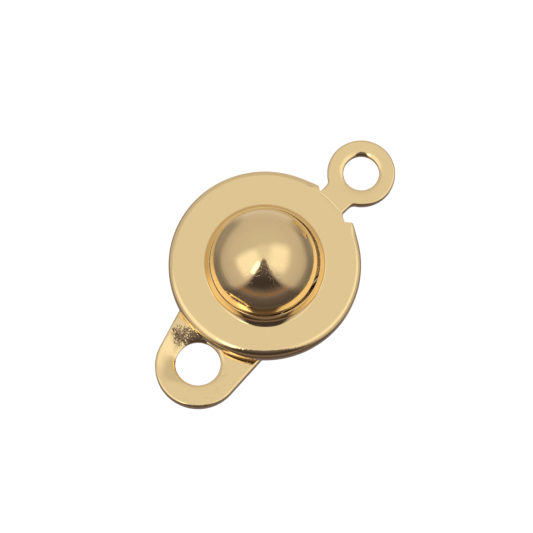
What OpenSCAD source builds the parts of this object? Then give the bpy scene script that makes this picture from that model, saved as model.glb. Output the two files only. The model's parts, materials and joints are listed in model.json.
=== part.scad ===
// Button clasp: a sprung socket plate snapped over a hollow ball stud.
// It lies on the stud's plate, ball up, and both halves end in a sewing loop.
// Millimetres. The origin is the ball's axis at the surface it lies on, +Z is up,
// and -X points to the centre of the stud's loop.

/* [Stud half] */
// Diameter of the ball
ball_d = 5; // [4.8:0.05:5.05]
// Height of the ball's centre above the surface
ball_z = 2.7; // [2.66:0.01:2.74]
// Thickness of the ball's drawn wall
ball_wall = 0.35; // [0.3:0.05:0.4]
// Thickness of the stud's plate
plate_t = 0.5; // [0.46:0.01:0.52]
// Diameter of the round plate under the socket
plate_d = 7.9; // [7.4:0.1:8.4]
// Distance from the ball's axis to the hole of the stud's loop
stud_reach = 5.3; // [5.3:0.05:6.5]
// Outer diameter of the stud's loop
stud_loop_d = 4.04; // [3.6:0.02:4.2]
// Diameter of the hole in the stud's loop
stud_loop_hole_d = 2.12; // [1.6:0.02:2.2]
// How far the loop's own centre lies beyond that of its hole
hole_inset = 0.07; // [0:0.01:0.1]
// Angle by which the tab is turned about the ball's axis, off the line through its hole
tab_turn = 0.7; // [-1:0.1:1]
// Angle by which each side of the stud's tab spreads towards the plate
tab_flare = 6.8; // [4:0.2:9]

/* [Socket half] */
// Diameter of the socket
socket_d = 9; // [8.9:0.05:9.6]
// Height of the socket, from its underside to its face
socket_h = 1; // [0.98:0.01:1.04]
// Thickness of the face and its loop
face_t = 0.4; // [0.36:0.01:0.42]
// Radius of the rounding at the top and foot of the rolled rim
rim_round = 0.38; // [0.3:0.02:0.4]
// Diameter of the hole that the ball passes
socket_hole_d = 5.32; // [5.28:0.02:5.34]
// Height of the collar round the hole, above the face
collar_h = 0.34; // [0.2:0.02:0.36]
// Distance from the socket's axis to the hole of its loop
socket_reach = 6.29; // [6.24:0.05:7.5]
// Outer diameter of the socket's loop
socket_loop_d = 3.18; // [2.8:0.02:3.2]
// Diameter of the hole in the socket's loop
socket_loop_hole_d = 1.68; // [1.2:0.02:1.8]
// Width of the neck between the face and the loop
neck_w = 1.56; // [1.4:0.02:1.6]

/* [As it lies] */
// Angle by which the socket half is swivelled out of line with the stud half
swivel = -10.5; // [-180:0.5:180]
// How far the loose socket has slid sideways off the ball's axis
play = 0.21; // [0:0.01:0.21]
// Gap between the stud's plate and the socket
seat_gap = 0.05; // [0.04:0.01:0.08]

/* [Hidden] */
$fn = 96;
past = 1;                                // how far a cut runs beyond what it cuts

ball_r = ball_d / 2;
hollow_r = ball_r - ball_wall;
neck_r = sqrt(pow(ball_r, 2) - pow(ball_z - plate_t, 2));  // the ball at the plate's top
throat_r = neck_r - ball_wall;           // mouth of the hollow, through the plate
throat_flare = 0.35;                     // rounding where the sheet turns up into the ball
neck_fillet = 0.25;                      // between the plate's top and the ball
tab_root = 2.6;                          // where the stud's tab starts inside the plate
root_fillet = 0.4;                       // hollow curve in plan where the tab leaves the plate
loop_x = stud_reach + hole_inset;        // centre of the stud's loop

socket_r = socket_d / 2;
socket_z = plate_t + seat_gap;           // underside of the socket
face_z = socket_z + socket_h;
sheet_z = face_z - face_t;               // underside of the face
hole_r = socket_hole_d / 2;
collar_foot = 0.14;                      // thickness of the collar where it leaves the face
collar_lip = 0.045;                      // and at its lip
collar_turn = 0.2;                       // bend under the collar
rim_wall = 0.3;                          // thickness of the rim's side
curl_t = 0.27;                           // thickness of the sheet turned in under the washer
curl_w = 0.78;                           // width of the turned-in sheet
play_angle = swivel + 31;                // direction of the sideways slide
// The relief notches at the neck, in plan: the open one and the narrow one
open_notch = [[4.2, -0.7], [4.19, -0.84], [4.05, -1.13], [4.33, -1.42], [4.9, -1.7], [4.9, -0.7]];
narrow_notch = [[4.22, 0.74], [4.2, 0.8], [4.475, 0.9], [4.9, 1.02], [4.9, 0.74]];
wall_gap = [-1.42, 0.9];                 // the rim's side is missing between these, under the loop
loop_fillet = 0.35;                      // between the neck and the loop
arc_steps = 12;

washer_t = 0.25;
washer_gap = 0.02;                       // between the washer and what holds it
washer_r = socket_r - rim_wall - 0.07;
washer_step = socket_r - curl_w - 0.17;  // where the dished middle starts
washer_slope = 0.14;
washer_low = socket_z + 0.03;            // underside of the dished middle
washer_high = socket_z + curl_t + washer_gap;

washer_play = 0.06;                      // how much wider its hole is than the socket's

wire_r = 0.14;
wire_swell = 0.005;                      // swelling of the wire at its tight bends
bow_r = 3;                               // round stretches of the spring
spring_gap = 40;                         // open stretch of the spring, degrees
spring_clear = 0.03;                     // between the wire and the ball, at rest
spring_z = (washer_low + washer_t + sheet_z) / 2;
leg_off = sqrt(pow(ball_r + wire_r + spring_clear, 2) - pow(ball_z - spring_z, 2));

function arc(centre, r, from, to, steps = arc_steps) =
    [for (i = [0:steps]) let (a = from + (to - from) * i / steps)
        [centre[0] + r * cos(a), centre[1] + r * sin(a)]];

module at_socket() {
    translate([play * cos(play_angle), play * sin(play_angle), 0]) rotate([0, 0, swivel]) children();
}

// What fills the corner in plan between the disc and one side of the stud's tab
module root_corner() {
    side = loop_x * sin(tab_flare) + stud_loop_d / 2 + root_fillet;
    along = sqrt(pow(plate_d / 2 + root_fillet, 2) - pow(side, 2));
    out = [-sin(tab_flare), cos(tab_flare)];
    centre = side * out + along * [-cos(tab_flare), -sin(tab_flare)];
    difference() {
        polygon([[0, 0], centre - root_fillet * out, centre,
            centre * plate_d / (plate_d + 2 * root_fillet)]);
        translate(centre) circle(r = root_fillet);
    }
}

// Plate outline: a disc, and a tab whose sides touch the loop
module stud_outline() {
    touch_x = loop_x + stud_loop_d / 2 * sin(tab_flare);
    touch_y = stud_loop_d / 2 * cos(tab_flare);
    root_y = touch_y + (touch_x - tab_root) * tan(tab_flare);
    circle(d = plate_d);
    translate([-loop_x, 0]) circle(d = stud_loop_d);
    polygon([[-tab_root, -root_y], [-tab_root, root_y], [-touch_x, touch_y], [-touch_x, -touch_y]]);
    root_corner();
    mirror([0, 1]) root_corner();
}

// Half section of the ball, with the fillet that joins it to the plate
module ball_section() {
    fillet_z = plate_t + neck_fillet;
    fillet_x = sqrt(pow(ball_r + neck_fillet, 2) - pow(ball_z - fillet_z, 2));
    touch_z = ball_z - (ball_z - fillet_z) * ball_r / (ball_r + neck_fillet);
    intersection() {
        translate([0, ball_z]) circle(r = ball_r);
        translate([0, plate_t / 2]) square([ball_r + past, ball_d + past]);
    }
    difference() {
        translate([throat_r, plate_t / 2]) square([fillet_x - throat_r, touch_z - plate_t / 2]);
        translate([fillet_x, fillet_z]) circle(r = neck_fillet);
    }
}

// Half section of the hollow under the ball, open at the plate's underside
module hollow_section() {
    intersection() {
        translate([0, ball_z]) circle(r = hollow_r);
        square([ball_r, ball_d + past]);
    }
    translate([0, -past]) square([throat_r, ball_z + past]);
    difference() {
        translate([0, -past]) square([throat_r + throat_flare, throat_flare + past]);
        translate([throat_r + throat_flare, throat_flare]) circle(r = throat_flare);
        translate([throat_r + throat_flare, -2 * past]) square([past, 4 * past]);
    }
}

module stud() {
    color("goldenrod") difference() {
        union() {
            linear_extrude(plate_t) rotate([0, 0, tab_turn]) stud_outline();
            rotate_extrude() intersection() {
                ball_section();
                square([ball_r + past, ball_d + past]);
            }
        }
        rotate_extrude() hollow_section();
        translate([-stud_reach, 0, -past]) cylinder(d = stud_loop_hole_d, h = plate_t + 2 * past);
    }
}

// Half section of the drawn shell: collar, face, rolled rim and turned-in foot
module shell_section() {
    difference() {
        union() {
            translate([0, socket_z]) square([socket_r - rim_round, socket_h]);
            translate([0, socket_z + rim_round]) square([socket_r, socket_h - 2 * rim_round]);
            translate([socket_r - rim_round, socket_z + rim_round]) circle(r = rim_round);
            translate([socket_r - rim_round, face_z - rim_round]) circle(r = rim_round);
            polygon([[hole_r, sheet_z], [hole_r + collar_foot, sheet_z], [hole_r + collar_foot, face_z],
                [hole_r + collar_lip, face_z + collar_h], [hole_r, face_z + collar_h]]);
        }
        translate([0, socket_z + curl_t]) square([socket_r - rim_wall, sheet_z - socket_z - curl_t]);
        translate([0, socket_z - past]) square([socket_r - curl_w, curl_t + past]);
        translate([0, 0]) square([hole_r, face_z + collar_h + past]);
        difference() {
            translate([0, sheet_z]) square([hole_r + collar_turn, collar_turn]);
            translate([hole_r + collar_turn, sheet_z + collar_turn]) circle(r = collar_turn);
        }
    }
}

// The neck in plan, with a hollow curve on each side where it meets the loop
module neck_outline() {
    loop_r = socket_loop_d / 2;
    half = neck_w / 2;
    curve_x = socket_reach - sqrt(pow(loop_r + loop_fillet, 2) - pow(half + loop_fillet, 2));
    turn = atan2(half + loop_fillet, socket_reach - curve_x);
    side = arc([curve_x, half + loop_fillet], loop_fillet, -90, -turn);
    root = [socket_r - 0.7, half];
    far_side = [for (i = [arc_steps:-1:0]) [side[i][0], -side[i][1]]];
    polygon(concat([root], side, far_side, [[root[0], -half]]));
}

module socket_shell() {
    color("gold") at_socket() difference() {
        union() {
            difference() {
                rotate_extrude() shell_section();
                translate([socket_r - curl_w - past, wall_gap[0], 0])
                    cube([curl_w + 2 * past, wall_gap[1] - wall_gap[0], sheet_z]);
                for (notch = [open_notch, narrow_notch])
                    translate([0, 0, sheet_z - past]) linear_extrude(face_t + 2 * past) polygon(notch);
            }
            translate([0, 0, sheet_z]) linear_extrude(face_t) neck_outline();
            translate([socket_reach, 0, sheet_z]) cylinder(d = socket_loop_d, h = face_t);
        }
        translate([socket_reach, 0, 0]) cylinder(d = socket_loop_hole_d, h = face_z + past);
    }
}

module backing_washer() {
    top = washer_high + washer_t;
    inner = hole_r + washer_play;
    color("darkgoldenrod") at_socket() rotate_extrude() polygon([
        [inner, washer_low], [washer_step, washer_low],
        [washer_step + washer_slope, washer_high], [washer_r, washer_high],
        [washer_r, top], [washer_step + washer_slope - 0.07, top],
        [washer_step - 0.07, washer_low + washer_t], [inner, washer_low + washer_t]]);
}

// A round stretch of the spring's wire
module bow(from, to) {
    rotate([0, 0, from]) rotate_extrude(angle = to - from) translate([bow_r, 0]) circle(r = wire_r);
}

// One bent wire: two straight legs beside the ball's neck, joined at one end and open at the other
module snap_spring() {
    bend = asin(leg_off / bow_r);
    bend_x = bow_r * cos(bend);
    color("silver") translate([0, 0, spring_z]) rotate([0, 0, swivel]) {
        bow(-bend, bend);
        bow(180 - bend, 180 - spring_gap / 2);
        bow(180 + spring_gap / 2, 180 + bend);
        for (side = [-1, 1]) translate([0, side * leg_off, 0]) {
            translate([-bend_x, 0, 0]) rotate([0, 90, 0]) cylinder(r = wire_r, h = 2 * bend_x);
            for (end = [-1, 1]) translate([end * bend_x, 0, 0]) sphere(r = wire_r + wire_swell);
        }
    }
}

stud();
socket_shell();
backing_washer();
snap_spring();
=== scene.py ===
# %% [markdown]
# # A snap clasp in polished gold plate
#
# The object is a button clasp, 15 mm long, that closes a necklace or a bracelet. A round socket
# plate is pressed over a hollow ball, which stands on a flat stud plate, and each half ends in a
# loop for thread. The real one is stamped and drawn from brass sheet and plated with gold, so
# nearly all that the eye sees is reflection. That is why this lesson spends its effort on three
# things: curves whose normals are exact, a studio worth reflecting, and a finish with the faint
# marks that polished plating has.
#
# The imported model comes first. It says where each piece is and how it moves. Its meshes are made
# for checking, and a mirror finish would show their facets, so finer pieces stand for them here.

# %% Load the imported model
import json
import math

import bpy
import numpy as np
from mathutils import Matrix, Vector
from mathutils.geometry import delaunay_2d_cdt


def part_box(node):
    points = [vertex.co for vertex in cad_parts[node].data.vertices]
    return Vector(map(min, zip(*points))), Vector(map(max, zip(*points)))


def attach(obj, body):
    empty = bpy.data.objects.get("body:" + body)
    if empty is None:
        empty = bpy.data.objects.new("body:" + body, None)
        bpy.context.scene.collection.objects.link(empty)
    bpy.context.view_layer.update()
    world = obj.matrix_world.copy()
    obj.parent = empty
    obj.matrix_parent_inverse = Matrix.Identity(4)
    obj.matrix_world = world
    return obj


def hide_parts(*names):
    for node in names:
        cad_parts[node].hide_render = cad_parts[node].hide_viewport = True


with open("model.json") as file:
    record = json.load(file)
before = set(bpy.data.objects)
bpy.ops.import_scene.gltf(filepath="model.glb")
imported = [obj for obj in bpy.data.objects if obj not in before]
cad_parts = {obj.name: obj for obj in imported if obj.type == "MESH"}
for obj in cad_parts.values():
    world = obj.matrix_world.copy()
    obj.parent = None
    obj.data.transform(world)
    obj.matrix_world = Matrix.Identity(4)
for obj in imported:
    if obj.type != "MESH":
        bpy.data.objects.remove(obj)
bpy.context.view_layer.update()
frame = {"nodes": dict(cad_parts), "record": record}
scene = bpy.context.scene
print("nodes:", sorted(frame["nodes"]))

# %% [markdown]
# ## Sizes
#
# Work on something this small is easier in millimetres, so the pieces are worked out in
# millimetres and turned into Blender's metres at the end. Most sizes are read from the packed
# model and its record. The rest are sheet-metal details, such as how tightly an edge is rounded.

# %% Read the main sizes from the model
MM = 0.001
# In millimetres: places closer than this are one, and the step over which a slope is measured
SAME_PLACE = 1e-6
STEP = 1e-4


def box_mm(node):
    """Lowest and highest corner of a node of the model, in millimetres."""
    return [np.round(np.array(corner) / MM, 2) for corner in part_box(node)]


def mount_mm(name):
    """Place, radius and length of a round mount of the record, in millimetres."""
    mount = next(m for m in frame["record"]["mounts"] if m["name"] == name)
    place = np.array(mount["pos_m"]) / MM
    return place, mount["dims"]["r_mm"], mount["dims"]["length_mm"]


stud_low, stud_high = box_mm("stud")
stud_hole, stud_hole_r, plate_t = mount_mm("stud_loop")
stud_reach = -stud_hole[0]
hole_inset = 0.07
loop_x = stud_reach + hole_inset
stud_loop_r = -stud_low[0] - loop_x
plate_r = stud_high[0]
ball_r = 2.5
ball_z = stud_high[2] - ball_r

shell_low, shell_high = box_mm("socket_shell")
socket_hole, socket_hole_r, face_t = mount_mm("socket_loop")
washer_low, washer_high = box_mm("backing_washer")
swivel = next(j for j in frame["record"]["behaviour"]["joints"] if j["name"] == "swivel")
socket_at = np.array(swivel["pos_m"][:2]) / MM
socket_way = socket_hole[:2] - socket_at
socket_turn = math.degrees(math.atan2(socket_way[1], socket_way[0]))
socket_reach = math.hypot(*socket_way)
socket_r = round((shell_high[1] - shell_low[1]) / 2, 2)
face_z = socket_hole[2] + face_t / 2
foot_z = shell_low[2]
sheet_z = face_z - face_t
print(f"plate {2 * plate_r:.2f} mm, {plate_t} mm thick; ball centre at {ball_z:.2f} mm")
print(f"socket {2 * socket_r:.2f} mm at {socket_at}, turned {socket_turn:.2f} degrees, face at {face_z:.2f}")

# %% [markdown]
# ## Camera
#
# The clasp is seen from high above, 76 degrees, with a long lens, as small goods usually are: the
# outline hardly changes with depth, and the reflections are those of a distant room. The camera is
# made first, because the studio is later built in its directions: to its right, away from it, and up.
# Light crosses the slit between ball and collar many times, so it's allowed more bounces than usual.

# %% Place the camera
camera_azimuth = math.radians(-54.64)
camera_rise = math.radians(76.0)
camera_distance = 300.0
picture_px = 533
mm_per_px = 1 / 21.43
face_centre_px = (264.85, 263.4)

to_right = Vector((math.cos(camera_azimuth), math.sin(camera_azimuth), 0))
to_away = Vector((-math.sin(camera_azimuth), math.cos(camera_azimuth), 0))
to_up = Vector((0, 0, 1))
to_camera = math.sin(camera_rise) * to_up - math.cos(camera_rise) * to_away
picture_up = math.cos(camera_rise) * to_up + math.sin(camera_rise) * to_away

right_px = picture_px / 2 - face_centre_px[0]
up_px = face_centre_px[1] - picture_px / 2
face_centre = Vector((socket_at[0], socket_at[1], face_z))
aim = face_centre + (to_right * right_px + picture_up * up_px) * mm_per_px

lens = bpy.data.cameras.new("camera")
lens.lens = lens.sensor_width * camera_distance / (picture_px * mm_per_px)
lens.clip_start, lens.clip_end = 0.01, 10
camera = bpy.data.objects.new("camera", lens)
camera.location = (aim + to_camera * camera_distance) * MM
camera.rotation_mode = "QUATERNION"
camera.rotation_quaternion = (-to_camera).to_track_quat("-Z", "Y")
scene.collection.objects.link(camera)
scene.camera = camera
scene.view_settings.view_transform = "Standard"
light_bounces = 24
scene.cycles.glossy_bounces = light_bounces
scene.cycles.max_bounces = light_bounces
print(f"lens {lens.lens:.0f} mm, picture {picture_px * mm_per_px:.2f} mm wide")

# %% [markdown]
# ## How the metal is drawn
#
# Every surface of the clasp is either spun from a section, such as the ball and the rolled rim, or
# follows a stamped outline, such as the loops. So two small drawing functions are enough: `arc` and
# `line` give points along a path, and each point carries its normal. The rule is the same in plan
# and in section: walk with the metal on the left, and the normal is on the right.
#
# Blender could work out normals from the facets. On a mirror, though, that leaves a faint ripple
# wherever a curve meets a flat. Keeping the normal of the true curve costs little and removes it.

# %% Draw arcs and lines with their normals
def arc(centre, radius, start, end, steps, height=None):
    """Points from angle start to end, in degrees. With height, the arc belongs to an ellipse."""
    tall = radius if height is None else height
    squeeze = radius / height if height else 1
    way = 1 if end > start else -1
    points = []
    for i in range(steps + 1):
        turn = math.radians(start + (end - start) * i / steps)
        c, s = math.cos(turn), math.sin(turn)
        size = way * math.hypot(c, squeeze * s)
        points.append((centre[0] + radius * c, centre[1] + tall * s, c / size, squeeze * s / size))
    return points


def line(start, end, steps=1):
    """Points along a straight stretch, none if it has no length."""
    dx, dy = end[0] - start[0], end[1] - start[1]
    size = math.hypot(dx, dy)
    if size < SAME_PLACE:
        return []
    return [(start[0] + dx * i / steps, start[1] + dy * i / steps, dy / size, -dx / size)
            for i in range(steps + 1)]


def sheet_edge(low, high, foot, brow, steps=8):
    """Section of a stamped edge, from underside to top. Foot and brow are a rounding's width and height."""
    return (arc((-foot[0], low + foot[1]), foot[0], 270, 360, steps, height=foot[1])
            + line((0, low + foot[1]), (0, high - brow[1]), 3)
            + arc((-brow[0], high - brow[1]), brow[0], 0, 90, steps, height=brow[1]))


quarter = arc((0, 0), 1, 0, 90, 2)
print("a quarter circle as x, y and normal:", [tuple(round(c, 2) for c in point) for point in quarter])

# %% [markdown]
# A `Skin` gathers such points into one closed mesh. Points at the same place become one vertex, so
# seams and poles close by themselves, and each corner of a face still keeps its own normal, so a
# sharp edge needs no second vertex. Flats are filled with triangles between their rings.

# %% Gather points into a closed skin
class Skin:
    """A surface in millimetres: vertices, faces, and the true normal at each corner."""

    def __init__(self):
        self.points, self.faces, self.normals, self.known = [], [], [], {}

    def vertex(self, place):
        """Number of the vertex at a place. Places that agree to 0.0001 mm share one."""
        key = tuple(round(c, 4) + 0.0 for c in place)
        if key not in self.known:
            self.known[key] = len(self.points)
            self.points.append(tuple(place))
        return self.known[key]

    def face(self, corners):
        """A face through (place, normal) corners, turned to look the way its normals point."""
        ring, ways = [], []
        for place, normal in corners:
            i = self.vertex(place)
            if i not in ring:
                ring.append(i)
                ways.append(normal)
        if len(ring) < 3:
            return
        p = [Vector(self.points[i]) for i in ring]
        facing = (p[2] - p[0]).cross(p[-1] - p[1]) if len(p) > 3 else (p[1] - p[0]).cross(p[2] - p[0])
        if facing.dot(sum((Vector(n) for n in ways), Vector())) < 0:
            ring.reverse()
            ways.reverse()
        self.faces.append(ring)
        self.normals.extend(ways)

    def strip(self, rows, closed=False):
        """Faces between neighbouring rows of points."""
        for here, there in zip(rows, rows[1:] + rows[:1] if closed else rows[1:]):
            for k in range(len(here) - 1):
                self.face([here[k], there[k], there[k + 1], here[k + 1]])

    def spin(self, section, turns):
        """Spins a section of (r, z) points round the upright axis through the given turns."""
        rows = []
        for turn in turns:
            c, s = math.cos(math.radians(turn)), math.sin(math.radians(turn))
            rows.append([((r * c, r * s, z), (nr * c, nr * s, nz)) for r, z, nr, nz in section])
        self.strip(rows, closed=True)

    def follow(self, outline, edge, closed=True):
        """Runs an edge section round a plan outline. edge may be a function of the outline's step."""
        rows = []
        for k, (x, y, nx, ny) in enumerate(outline):
            section = edge(k) if callable(edge) else edge
            rows.append([((x + nx * out, y + ny * out, z), (nx * n_out, ny * n_out, nz))
                         for out, z, n_out, nz in section])
        self.strip(rows, closed)

    def fill(self, rings, z, way, holes=(), inner=()):
        """Fills the flat between rings of plan points. way is 1 for a top and -1 for an underside."""
        only_inside, as_one = 1, SAME_PLACE / 10
        places, edges = [], []
        for ring in rings:
            ring = [p for p, q in zip(ring, ring[1:] + ring[:1]) if math.dist(p, q) > SAME_PLACE]
            first = len(places)
            places.extend(ring)
            edges.extend((first + i, first + (i + 1) % len(ring)) for i in range(len(ring)))
        places.extend(inner)
        made, _, faces, origin, _, _ = delaunay_2d_cdt(
            [Vector(p) for p in places], edges, [], only_inside, as_one)
        exact = [places[o[0]] if o else tuple(m) for m, o in zip(made, origin)]
        for f in faces:
            corners = [exact[i] for i in f]
            x, y = sum(p[0] for p in corners) / 3, sum(p[1] for p in corners) / 3
            if any(math.hypot(x - hx, y - hy) < hr for hx, hy, hr in holes):
                continue
            self.face([((p[0], p[1], z), (0, 0, way)) for p in corners])

    def bend(self, change):
        """Moves every point by a smooth change of place, and turns the normals with it."""
        turned = []
        for place in self.points:
            here = Vector(change(place))
            sides = []
            for axis in range(3):
                near = list(place)
                near[axis] += STEP
                sides.append((Vector(change(near)) - here) / STEP)
            x, y, z = sides
            turned.append((here, (y.cross(z), z.cross(x), x.cross(y))))
        k = 0
        for ring in self.faces:
            for i in ring:
                n, (a, b, c) = self.normals[k], turned[i][1]
                self.normals[k] = tuple((a * n[0] + b * n[1] + c * n[2]).normalized())
                k += 1
        self.points = [tuple(here) for here, _ in turned]

    def to_object(self, name, turn=0.0, at=(0.0, 0.0)):
        """The finished mesh object, in metres, smooth, with the kept normals, turned and set in place."""
        turned = Matrix.Rotation(math.radians(turn), 3, "Z")
        moved = Vector((at[0], at[1], 0))
        mesh = bpy.data.meshes.new(name)
        mesh.from_pydata([(turned @ Vector(p) + moved) * MM for p in self.points], [], self.faces)
        mesh.polygons.foreach_set("use_smooth", [True] * len(self.faces))
        mesh.normals_split_custom_set([(turned @ Vector(n)).normalized() for n in self.normals])
        mesh.update()
        made = bpy.data.objects.new(name, mesh)
        scene.collection.objects.link(made)
        print(f"{name}: {len(self.points)} points, {len(self.faces)} faces")
        return made

# %% [markdown]
# A punched hole is rounded on top where the punch went in, its brow, and below where it came out,
# its foot. The sheet gave way more on one side of the punch, so the brow has its full width there
# and about a third of it opposite. The edge is one section run round the hole, and the function
# hands back the rings and discs that the flats are later filled up to.

# %% Draw punched holes and what the flats are filled with
brow_even, brow_lean = 0.68, 0.32
disc_slack = 0.012


def inset(outline, by):
    """Plan points of an outline moved into the metal."""
    return [(x - nx * by, y - ny * by) for x, y, nx, ny in outline]


def brow_share(point, centre, way):
    """Share of its brow that a hole has at a point of its edge: all towards the way, least opposite."""
    x, y = point[0] - centre[0], point[1] - centre[1]
    return brow_even + brow_lean * (x * math.cos(way) + y * math.sin(way)) / math.hypot(x, y)


def punched_hole(skin, centre, radius, way, heights, foot, brow, steps=96):
    """Adds a hole's edge to a skin. Gives the rings where brow and foot end, and a disc for each."""
    outline = arc(centre, radius, 360, 0, steps)
    parts = [brow_share(p, centre, way) for p in outline]
    skin.follow(outline, lambda k: sheet_edge(*heights, foot, [parts[k] * c for c in brow]), closed=False)
    ring = [(x - nx * brow[0] * part, y - ny * brow[0] * part)
            for (x, y, nx, ny), part in zip(outline[:-1], parts)]
    off = brow_lean * brow[0]
    disc = (centre[0] + off * math.cos(way), centre[1] + off * math.sin(way),
            radius + brow_even * brow[0] - disc_slack)
    return ring, inset(outline[:-1], foot[0]), disc, (*centre, radius + foot[0] - disc_slack)


def ring_of(centre, radius, turns):
    """Plan points on a circle."""
    return [(centre[0] + radius * math.cos(math.radians(t)), centre[1] + radius * math.sin(math.radians(t)))
            for t in turns]


def grid_points(low, high, spacing, keep):
    """Plan points of an even triangular grid, where keep says yes."""
    found = []
    row_gap = spacing * math.sqrt(3) / 2
    for j in range(int((high[1] - low[1]) / row_gap) + 1):
        for i in range(int((high[0] - low[0]) / spacing) + 1):
            x = low[0] + (i + 0.5 * (j % 2)) * spacing
            y = low[1] + j * row_gap
            if keep(x, y):
                found.append((x, y))
    return found


print(f"across a hole, its brow narrows from {brow_even + brow_lean:.2f} to {brow_even - brow_lean:.2f}")

# %% [markdown]
# ## The stud
#
# The lower half is one sheet. The ball is drawn up out of it in a press, hollow, and the plate round
# it is punched to a disc with a tab and a loop. Its outline is two arcs, two hollow corners and two
# straight sides. The two punches weren't quite in line, so the hole sits a little off the middle of
# its loop. The outline is drawn along the tab, and the finished piece is turned back by that much.

# %% Draw the stud's outline and sections
tab_flare = 6.8
root_fillet = 0.4
tab_turn = 0.7
plate_brow, plate_foot = (0.12, 0.12), (0.06, 0.06)
hole_brow, hole_foot = (0.3, 0.12), (0.16, 0.14)
neck_fillet = 0.25
ball_wall = 0.35
throat_flare = 0.35
throat_edge = 0.12
grain = 0.07

flare = math.radians(tab_flare)
side_way = (-math.sin(flare), math.cos(flare))
side_off = loop_x * math.sin(flare) + stud_loop_r
corner_off = side_off + root_fillet
corner_along = math.sqrt((plate_r + root_fillet) ** 2 - corner_off ** 2)
corner = (corner_off * side_way[0] - corner_along * math.cos(flare),
          corner_off * side_way[1] - corner_along * math.sin(flare))
corner_turn = math.degrees(math.atan2(corner[1], corner[0]))
side_start = (corner[0] - root_fillet * side_way[0], corner[1] - root_fillet * side_way[1])
side_end = (-loop_x + stud_loop_r * side_way[0], stud_loop_r * side_way[1])
side_steps = round(math.dist(side_start, side_end) / grain)

stud_outline = (
    arc((0, 0), plate_r, -corner_turn, corner_turn, 180)
    + arc(corner, root_fillet, corner_turn + 180, 270 + tab_flare, 8)
    + line(side_start, side_end, side_steps)
    + arc((-loop_x, 0), stud_loop_r, 90 + tab_flare, 270 - tab_flare, 90)
    + line((side_end[0], -side_end[1]), (side_start[0], -side_start[1]), side_steps)
    + arc((corner[0], -corner[1]), root_fillet, 90 - tab_flare, 180 - corner_turn, 8))
hole_at = (-stud_reach * math.cos(math.radians(tab_turn)), stud_reach * math.sin(math.radians(tab_turn)))

fillet_z = plate_t + neck_fillet
fillet_x = math.sqrt((ball_r + neck_fillet) ** 2 - (ball_z - fillet_z) ** 2)
fillet_turn = math.degrees(math.atan2(ball_z - fillet_z, fillet_x))
ball_section = (arc((fillet_x, fillet_z), neck_fillet, 270, 180 - fillet_turn, 14)
                + arc((0, ball_z), ball_r, -fillet_turn, 90, 90))

hollow_r = ball_r - ball_wall
throat_r = math.sqrt(ball_r ** 2 - (ball_z - plate_t) ** 2) - ball_wall
edge_x = throat_r + throat_edge
edge_z = ball_z - math.sqrt((hollow_r + throat_edge) ** 2 - edge_x ** 2)
edge_turn = math.degrees(math.atan2(ball_z - edge_z, edge_x))
hollow_section = (arc((0, ball_z), hollow_r, 90, -edge_turn, 48)
                  + arc((edge_x, edge_z), throat_edge, 180 - edge_turn, 180, 5)
                  + line((throat_r, edge_z), (throat_r, throat_flare), 2)
                  + arc((throat_r + throat_flare, throat_flare), throat_flare, 180, 270, 12))
print(f"ball meets its fillet at {fillet_x:.2f} mm, throat {2 * throat_r:.2f} mm wide")

# %% [markdown]
# The plate isn't quite flat. Punching the hole drags the sheet down round it, and drawing the ball
# pulled the metal between the two, so a shallow scoop runs from the ball down to the hole. It's what
# makes that part of the tab look dark: it faces the camera. Both are smooth functions of place, and
# `bend` presses them into the finished skin.

# %% Shape the scoop and the dip
drag_depth, drag_reach, drag_inside = 0.03, 0.25, 0.1
scoop_depth = 0.27
scoop_way = camera_azimuth + math.radians(90 - tab_turn)
# From the hole's centre, where the scoop starts and where it is full, on each of its four sides
scoop_far, scoop_near = (2.1, 0.6), (-1.0, 0.6)
scoop_left, scoop_right = (-2.1, -1.05), (1.1, 0.4)
tab_from, tab_full = -3.4, -4.0


def smooth(low, high, value):
    """A smooth step from 0 at low to 1 at high, which may lie either way round."""
    t = min(1, max(0, (value - low) / (high - low)))
    return t * t * (3 - 2 * t)


def drag(x, y, centre, radius):
    """How far punching a hole dragged the sheet down at a place near it, in millimetres."""
    from_edge = math.hypot(x - centre[0], y - centre[1]) - radius
    return drag_depth * math.exp(-max(from_edge, -drag_inside) / drag_reach)


def scoop(x, y):
    """Depth of the scoop. It falls towards the camera down to the hole, and comes back beyond it."""
    x, y = x - hole_at[0], y - hole_at[1]
    along = x * math.cos(scoop_way) + y * math.sin(scoop_way)
    aside = x * math.sin(scoop_way) - y * math.cos(scoop_way)
    fall = smooth(*scoop_far, along) * smooth(*scoop_near, along)
    return scoop_depth * fall * smooth(*scoop_left, aside) * smooth(*scoop_right, aside)


def press_tab(place):
    """Lowers a place of the tab by scoop and dip: its top by all of it, its underside not at all."""
    x, y, z = place
    if x > tab_from:
        return place
    dip = scoop(x, y) + drag(x, y, hole_at, stud_hole_r)
    return (x, y, z - dip * smooth(tab_from, tab_full, x) * z / plate_t)


print(f"the scoop is {scoop(*hole_at):.2f} mm deep at the hole's centre")

# %% [markdown]
# The flat top of the tab has to bend, so it needs points to bend at. A grid of them goes into its
# filling. The plate behind the tab stays flat, and does without.

# %% Make the ball stud
round_steps = 256
round_turns = [i * 360 / round_steps for i in range(round_steps)]
grid_gap = 0.03
tab_box = (-7.5, -2.6), (-2.9, 2.6)


def on_tab(x, y):
    """Whether a grid point lies on the tab's flat, clear of its edge and its hole."""
    off_side = side_off - abs(y) * math.cos(flare) + x * math.sin(flare)
    off_loop = stud_loop_r - math.hypot(x + loop_x, y)
    inside = off_loop if x < side_end[0] else off_side
    from_hole = math.hypot(x - hole_at[0], y - hole_at[1]) - stud_hole_r
    return inside > plate_brow[0] + grid_gap and from_hole > hole_brow[0] + grid_gap


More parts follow.
